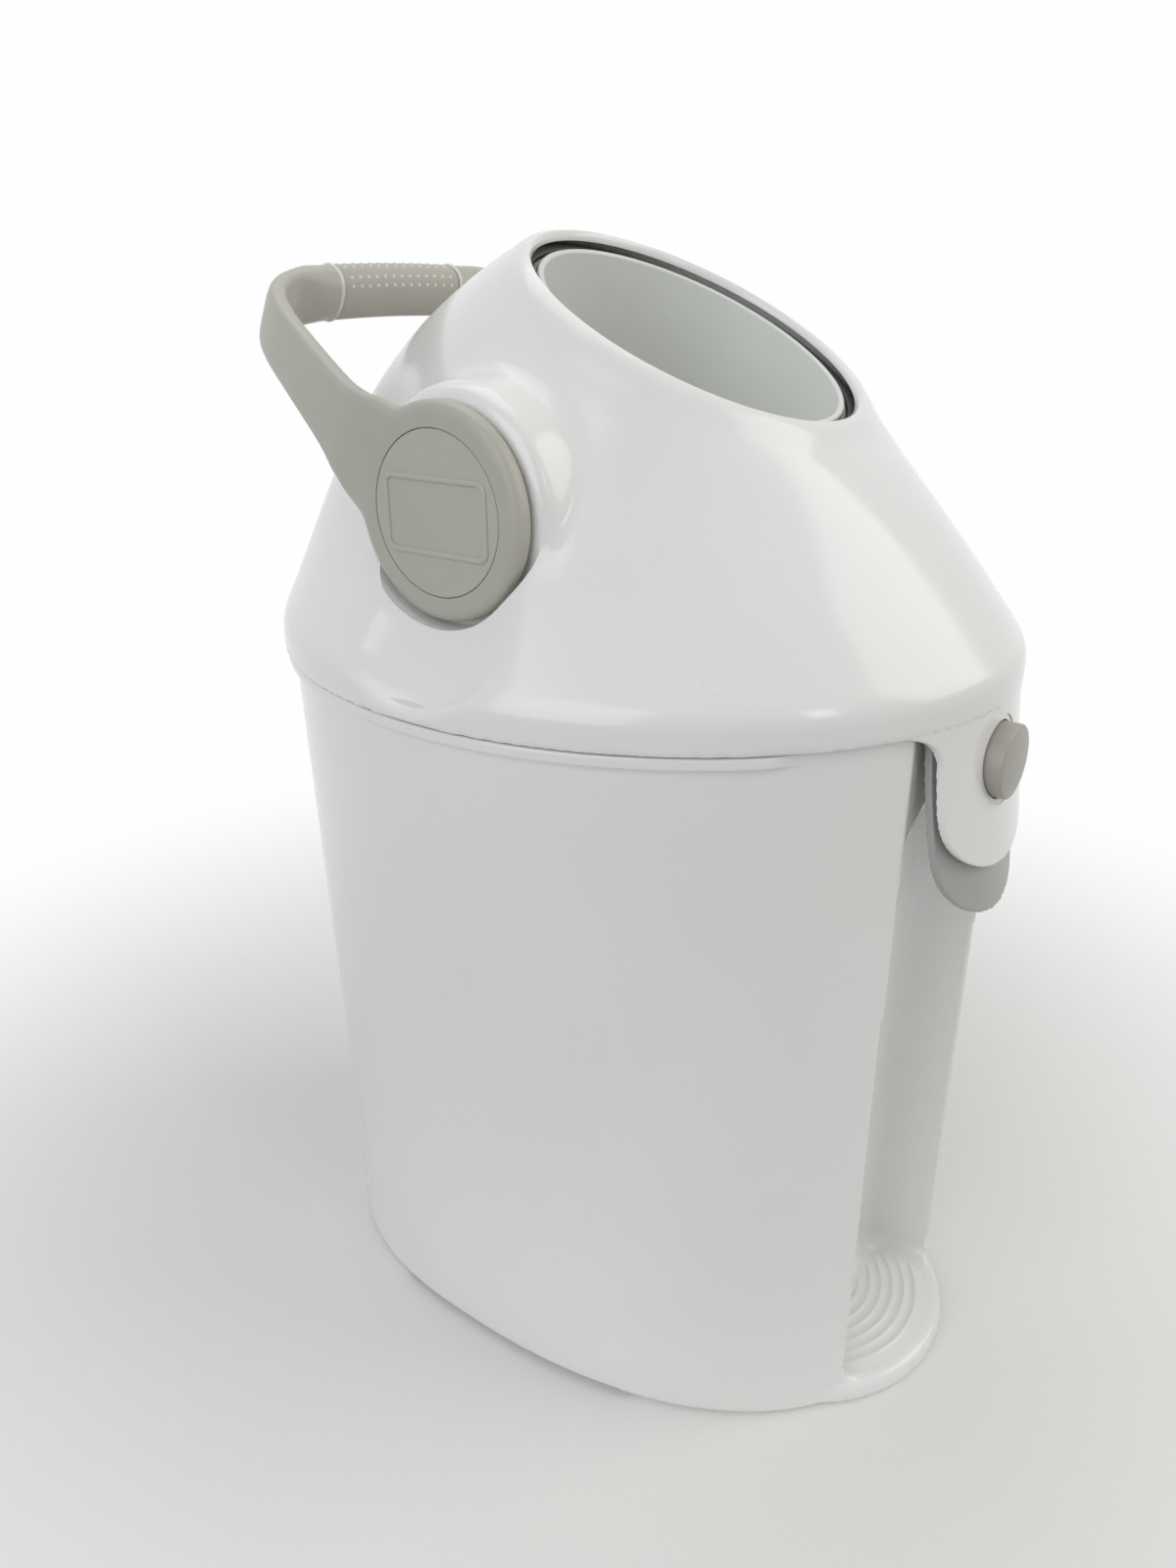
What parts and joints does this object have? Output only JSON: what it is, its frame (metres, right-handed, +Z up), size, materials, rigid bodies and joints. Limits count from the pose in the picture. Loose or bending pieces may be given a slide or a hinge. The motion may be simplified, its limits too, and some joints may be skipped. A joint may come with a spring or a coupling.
{
  "type": "nappy bin",
  "caption": "Tapered nappy bin with a hinged dome lid, a tip-over drum turned by a U-shaped handle, a weighted piston in its cup, a bag ring with a lift tab and a push-button catch",
  "frame": {"origin": "Middle of the bin's footprint on the floor: the centre of the bounding box in X and Y, at the height of the floor.", "axes": "+Z is up, -Y is the front with the button, the tab and the foot step, and X runs from side to side along the drum's axle."},
  "size_m": [0.33, 0.4094, 0.5618],
  "materials": {
    "gloss_white_plastic": "glossy moulded white plastic",
    "inner_white_plastic": "satin moulded off-white plastic",
    "warm_grey_plastic": "satin warm light grey plastic",
    "cap_grey_plastic": "satin warm light grey plastic",
    "grip_grey_rubber": "soft grip with small raised dots",
    "button_grey_plastic": "satin grey-beige plastic",
    "ring_grey_plastic": "satin mid grey plastic",
    "seal_grey_rubber": "dark grey soft rubber",
    "steel": "zinc-plated steel"
  },
  "bodies": {
    "base": {"pail": "gloss_white_plastic", "hinge_pin": "steel"},
    "ring": {"bag_ring": "ring_grey_plastic"},
    "lid": {"lid_dome": "gloss_white_plastic", "drum_carrier": "inner_white_plastic", "lid_gasket": "seal_grey_rubber", "upper_drum_seal": "seal_grey_rubber", "lower_drum_seal": "seal_grey_rubber", "left_axle_bush": "cap_grey_plastic", "right_axle_bush": "cap_grey_plastic", "latch_bracket": "inner_white_plastic", "button_spring": "steel"},
    "drum": {"drum_shell": "inner_white_plastic", "drum_cup": "inner_white_plastic", "left_axle": "warm_grey_plastic", "right_axle": "warm_grey_plastic", "handle": "warm_grey_plastic", "grip_sleeve": "grip_grey_rubber", "left_hub_cap": "cap_grey_plastic", "right_hub_cap": "cap_grey_plastic"},
    "piston": {"piston_body": "inner_white_plastic", "piston_seal": "seal_grey_rubber", "piston_weight": "steel"},
    "press_button": {"button": "button_grey_plastic"}
  },
  "joints": [
    {"name": "lid_hinge", "type": "hinge", "parent": "base", "child": "lid", "pos_m": [0, 0.1995, 0.368], "axis": [-1, 0, 0], "range_deg": [0, 95]},
    {"name": "ring_lift", "type": "hinge", "parent": "base", "child": "ring", "pos_m": [0, 0.1995, 0.368], "axis": [-1, 0, 0], "range_deg": [0, 47.5]},
    {"name": "handle_turn", "type": "hinge", "parent": "lid", "child": "drum", "pos_m": [0, -0.002, 0.45], "axis": [1, 0, 0], "range_deg": [0, 138]},
    {"name": "piston_slide", "type": "slide", "parent": "drum", "child": "piston", "axis": [0, -0.4733, 0.8809], "range_m": [0, 0.098]},
    {"name": "button_press", "type": "slide", "parent": "lid", "child": "press_button", "axis": [0, 1, 0], "range_m": [0, 0.0028], "stiffness_N_per_m": 400, "springref_m": -0.002, "deforming": ["button_spring"]}
  ],
  "couplings": [
    {"joint": "ring_lift", "follows": "lid_hinge", "ratio": 0.5}
  ]
}
